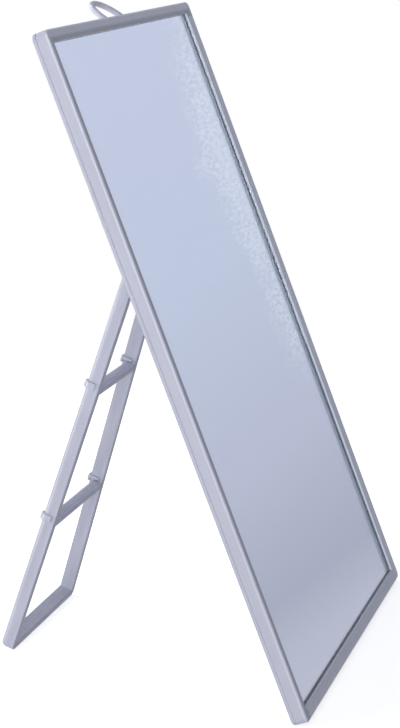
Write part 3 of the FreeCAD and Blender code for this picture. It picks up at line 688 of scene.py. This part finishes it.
def rounded_clip(node_name):
    """A copy of a CAD clip with all its edges rounded off."""
    name = node_name + "_bead"
    clip = add_object(name, nodes[node_name].data.copy())
    clip.data.name = name
    cubes = clip.modifiers.new("cubes", "REMESH")
    cubes.mode = "VOXEL"
    cubes.voxel_size = CLIP_CUBE
    cubes.use_smooth_shade = True
    soften = clip.modifiers.new("soften", "SMOOTH")
    soften.factor = CLIP_SOFTNESS
    soften.iterations = CLIP_SMOOTHING
    rounded = worked_mesh(clip)
    clip.modifiers.clear()
    clip.data = rounded
    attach(clip, "leg")
    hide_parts(node_name)
    return clip


clip_names = sorted(name for name in nodes if name.endswith("_clip"))
clips = [rounded_clip(name) for name in clip_names]
print("clips:", [(clip.name, len(clip.data.polygons)) for clip in clips])

# %% [markdown]
# Four pan head screws hold the bracket to the cover. A turned screw is a profile spun around its axis, here
# with a shank and a low crown, and the cross for the screwdriver is cut out with a boolean. The places of the
# screws are read from the CAD node, which is four loose solids, so they stay where the holes are.

# %% Screws
HEAD_HEIGHT = 0.0013
HEAD_RIM = 0.00045
HEAD_SHARP = math.radians(40)
CROWN_STEPS = 7
CROWN_FALL = 0.7
CROSS_ARM = 0.0012
CROSS_HALF_WIDTH = 0.00021
CROSS_DEPTH = 0.0007
CROSS_TAPER = 0.4
CROSS_TURNS = (12.0, 57.0, 31.0, 78.0)
TIP_LAYER = 0.0001


def loose_solids(mesh):
    """The vertex places of each separate solid of a mesh."""
    work = bmesh.new()
    work.from_mesh(mesh)
    bmesh.ops.remove_doubles(work, verts=work.verts, dist=SAME_PLACE)
    seen = set()
    solids = []
    for first in work.verts:
        waiting = [] if first in seen else [first]
        seen.add(first)
        solid = []
        while waiting:
            vertex = waiting.pop()
            solid.append(vertex.co.copy())
            beside = [edge.other_vert(vertex) for edge in vertex.link_edges]
            fresh = [other for other in beside if other not in seen]
            seen.update(fresh)
            waiting.extend(fresh)
        if solid:
            solids.append(solid)
    work.free()
    return solids


def plain_screw(radius, shank_radius, shank_length):
    """A pan head screw around the X axis: its shank below 0, and its head from the seat at 0 to the crown."""
    shank = [(-shank_length, 0.0), (-shank_length, shank_radius), (0.0, shank_radius)]
    profile = shank + [(0.0, radius), (HEAD_RIM, radius)]
    for step in range(1, CROWN_STEPS + 1):
        turn = math.radians(90) * step / CROWN_STEPS
        out = radius * math.cos(turn) ** CROWN_FALL if step < CROWN_STEPS else 0.0
        profile.append((HEAD_RIM + (HEAD_HEIGHT - HEAD_RIM) * math.sin(turn), out))
    return spun_ring((0.0, 0.0, 0.0), profile)


def cross_cutter():
    """A cross that narrows to its bottom, standing through the crown of a head."""
    arm, half = CROSS_ARM, CROSS_HALF_WIDTH
    outline = [(half, arm), (half, half), (arm, half), (arm, -half), (half, -half), (half, -arm)]
    outline += [(-side, -up) for side, up in outline]
    work = bmesh.new()
    rings = []
    for way in (-1, 1):
        along = HEAD_HEIGHT + way * CROSS_DEPTH
        scale = 1.0 + way * CROSS_TAPER
        rings.append([work.verts.new((along, side * scale, up * scale)) for side, up in outline])
    for ring in rings:
        work.faces.new(ring)
    for here in range(len(outline)):
        after = (here + 1) % len(outline)
        work.faces.new((rings[0][here], rings[0][after], rings[1][after], rings[1][here]))
    bmesh.ops.recalc_face_normals(work, faces=work.faces)
    return work


def cross_screw(radius, shank_radius, shank_length):
    """The mesh of one screw with its cross cut out."""
    screw = as_object("screw", plain_screw(radius, shank_radius, shank_length))
    cutter = as_object("screw_cross", cross_cutter())
    cut = screw.modifiers.new("cross", "BOOLEAN")
    cut.operation = "DIFFERENCE"
    cut.solver = "EXACT"
    cut.object = cutter
    mesh = worked_mesh(screw)
    for spare in (screw, cutter):
        bpy.data.objects.remove(spare)
    return mesh


def placed_screw(places, degrees):
    """A screw in the place of one CAD solid, its cross turned by some degrees."""
    left, right = extent(places, sideways)
    top = extent(places, panel_up)[1]
    tip, crown = extent(places, panel_back)
    near_tip = [place for place in places if place.dot(panel_back) < tip + TIP_LAYER]
    shank_left, shank_right = extent(near_tip, sideways)
    radius = (right - left) / 2
    seat = crown - HEAD_HEIGHT
    mesh = cross_screw(radius, (shank_right - shank_left) / 2, seat - tip)
    middle = sideways * (right - radius) + panel_up * (top - radius) + panel_back * seat
    axes = Matrix((panel_back, sideways, panel_up)).transposed().to_4x4()
    mesh.transform(Matrix.Translation(middle) @ axes @ Matrix.Rotation(math.radians(degrees), 4, "X"))
    return mesh


screw_solids = loose_solids(nodes["bracket_screws"].data)
all_screws = bmesh.new()
for places, degrees in zip(screw_solids, CROSS_TURNS):
    one_screw = placed_screw(places, degrees)
    all_screws.from_mesh(one_screw)
    bpy.data.meshes.remove(one_screw)
bmesh.ops.recalc_face_normals(all_screws, faces=all_screws.faces)
screws = as_object("bracket_screw_heads", all_screws)
screws.data.shade_smooth()
screws.data.set_sharp_from_angle(angle=HEAD_SHARP)
screws.data.materials.append(steel)
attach(screws, "panel")
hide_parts("bracket_screws")
print("screws:", len(screw_solids), "with", len(screws.data.polygons), "faces")

# %% [markdown]
# The stage is a plain pale floor in a white studio. Camera rays that miss everything see white, as in a
# cut-out picture. Rays that come from the mirror or pass its glass see a grey-blue studio wall instead,
# darkest where it meets the table, which is what the photograph shows in the glass. All other rays get a
# dim, even light.

# %% World
WALL = [(-0.25, (0.72, 0.725, 0.835)), (-0.145, (0.645, 0.66, 0.775)), (-0.118, (0.54, 0.555, 0.67)),
        (-0.06, (0.645, 0.66, 0.80)), (0.04, (0.715, 0.765, 0.925)), (0.20, (0.77, 0.80, 0.975))]
EVEN_LIGHT = (0.225, 0.232, 0.257)
WHITE = (1.0, 1.0, 1.0)

world = bpy.data.worlds.new("studio")
world.use_nodes = True
bpy.context.scene.world = world
sky = world.node_tree
rays = sky.nodes.new("ShaderNodeLightPath")
sky_place = sky.nodes.new("ShaderNodeTexCoord")
sky_split = sky.nodes.new("ShaderNodeSeparateXYZ")
sky.links.new(sky_place.outputs["Generated"], sky_split.inputs["Vector"])
wall_foot, wall_top = WALL[0][0], WALL[-1][0]
height = spread(sky, sky_split.outputs["Z"], (wall_foot, wall_top), FULL)
wall = sky.nodes.new("ShaderNodeValToRGB")
stops = wall.color_ramp.elements
while len(stops) < len(WALL):
    stops.new(0.5)
for stop, (rise, color) in zip(stops, WALL):
    stop.position = (rise - wall_foot) / (wall_top - wall_foot)
    stop.color = (*color, 1.0)
sky.links.new(height, wall.inputs["Fac"])
mirrored = math_node(sky, "MAXIMUM", rays.outputs["Is Glossy Ray"], rays.outputs["Is Transmission Ray"])
lit = mix_colors(sky, mirrored, EVEN_LIGHT, wall.outputs["Color"])
seen = mix_colors(sky, rays.outputs["Is Camera Ray"], lit, WHITE)
sky.links.new(seen, sky.nodes["Background"].inputs["Color"])
print("world with", len(stops), "stops")

# %% [markdown]
# The floor is white paper, and it keeps the object's shadow. Paper under these lamps would look grey, so a
# little glow of its own lifts it to white where no shadow falls. Further out it fades to plain white. Both
# are for camera rays only, so that no extra light falls on the object. The mirror does not see the floor:
# it would show its far edge as a line.

# %% Floor
FLOOR_HALF = 6.0
PAPER = (0.86, 0.86, 0.86)
PAPER_ROUGHNESS = 0.9
PAPER_GLOW = 0.62
PAPER_FADE = (0.30, 0.75)


def paper_floor():
    """A wide sheet of paper under the mirror, as part of the stage."""
    mesh = bpy.data.meshes.new("floor")
    corners = [(-FLOOR_HALF, -FLOOR_HALF, 0), (FLOOR_HALF, -FLOOR_HALF, 0),
               (FLOOR_HALF, FLOOR_HALF, 0), (-FLOOR_HALF, FLOOR_HALF, 0)]
    mesh.from_pydata(corners, [], [(0, 1, 2, 3)])
    material, tree, shader = new_material("paper", PAPER, PAPER_ROUGHNESS)
    place = tree.nodes.new("ShaderNodeNewGeometry")
    distance = tree.nodes.new("ShaderNodeVectorMath")
    distance.operation = "LENGTH"
    tree.links.new(place.outputs["Position"], distance.inputs[0])
    fade = spread(tree, distance.outputs["Value"], PAPER_FADE, FULL, smooth=True)
    path = tree.nodes.new("ShaderNodeLightPath")
    glow = tree.nodes.new("ShaderNodeEmission")
    only_seen = math_node(tree, "MULTIPLY", path.outputs["Is Camera Ray"], PAPER_GLOW)
    tree.links.new(only_seen, glow.inputs["Strength"])
    lifted = tree.nodes.new("ShaderNodeAddShader")
    tree.links.new(shader.outputs["BSDF"], lifted.inputs[0])
    tree.links.new(glow.outputs["Emission"], lifted.inputs[1])
    white = tree.nodes.new("ShaderNodeEmission")
    blend = tree.nodes.new("ShaderNodeMixShader")
    seen_fade = math_node(tree, "MULTIPLY", fade, path.outputs["Is Camera Ray"])
    tree.links.new(seen_fade, blend.inputs["Fac"])
    tree.links.new(lifted.outputs["Shader"], blend.inputs[1])
    tree.links.new(white.outputs["Emission"], blend.inputs[2])
    tree.links.new(blend.outputs["Shader"], tree.nodes["Material Output"].inputs["Surface"])
    mesh.materials.append(material)
    ground = add_object("floor", mesh)
    ground.visible_glossy = False
    ground.visible_transmission = False
    return ground


floor = paper_floor()
print("floor", floor.dimensions.x, "m wide")

# %% [markdown]
# The faces turned to the left are the brightest, and the front of the lip is about half as bright. So the
# main lamp is a large soft panel on the left, only just in front of the mirror's plane. It grazes the front,
# and lights the inner wall of the right lip, which with the painted light laid on the rim shines as a thin
# bright line. A second panel, high behind the mirror, lights the cover and the tops of the rungs. A small low
# one behind on the left draws the pale stripe along the back of the rails. A weak one in front lifts the lip,
# and is hidden from glossy rays, so that the mirror never shows it.

# %% Lamps
LAMP_TARGET = Vector((0.0, 0.02, 0.13))
LAMPS = [
    ("left_panel", (-1.45, -0.22, 0.52), 0.9, 12.0),
    ("back_panel", (0.25, 1.30, 0.85), 0.9, 13.0),
    ("rim_panel", (-0.85, 1.15, 0.22), 0.5, 6.0),
    ("front_panel", (-0.60, -1.20, 0.45), 0.5, 0.8),
]


def soft_panel(name, place, size, watts):
    """A square lamp of a given size in metres, turned to the mirror."""
    data = bpy.data.lights.new(name, "AREA")
    data.shape = "SQUARE"
    data.size = size
    data.energy = watts
    lamp = add_object(name, data)
    aim(lamp, place, LAMP_TARGET - Vector(place))
    return lamp


lamps = {row[0]: soft_panel(*row) for row in LAMPS}
lamps["front_panel"].visible_glossy = False
bpy.context.scene.view_settings.view_transform = "Standard"
print("lamps:", ", ".join(lamps))
